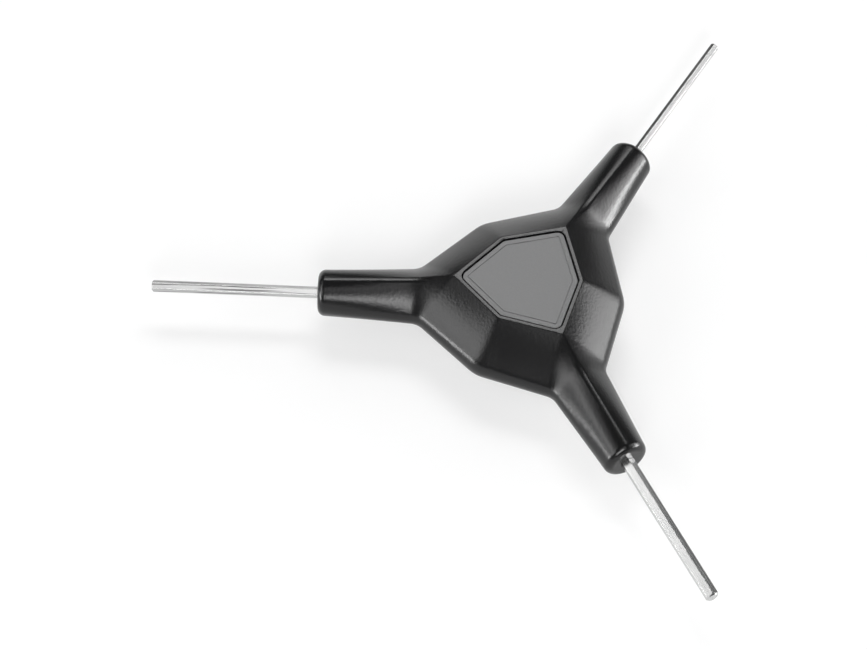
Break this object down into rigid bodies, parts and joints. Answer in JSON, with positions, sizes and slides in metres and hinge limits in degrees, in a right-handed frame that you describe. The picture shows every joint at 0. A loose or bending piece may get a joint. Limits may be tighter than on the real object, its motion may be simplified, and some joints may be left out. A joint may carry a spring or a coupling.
{
  "type": "hex wrench",
  "caption": "Y-shaped hex wrench: faceted moulded handle with a plain front plate, and straight steel hex bars of different sizes in its arms",
  "frame": {"origin": "middle of the hub on the flat back face, which is the face that the tool lies on", "axes": "+Z out of the front, through the thickness; -X along the arm with the 2.5 mm bar; the 2 mm and 3 mm bars point 60 degrees to each side of +X"},
  "size_m": [0.1396, 0.161, 0.0208],
  "materials": {
    "handle_plastic": "satin black moulded plastic with a fine leather grain",
    "core_nylon": "dull dark grey glass-filled nylon",
    "plate_plastic": "smooth mid-grey satin plastic",
    "tool_steel": "bright drawn tool steel, satin"
  },
  "bodies": {
    "root": {"grip": "handle_plastic", "inner_core": "core_nylon", "front_plate": "plate_plastic", "hex_key_2_5mm": "tool_steel", "hex_key_3mm": "tool_steel", "hex_key_2mm": "tool_steel"}
  },
  "joints": []
}
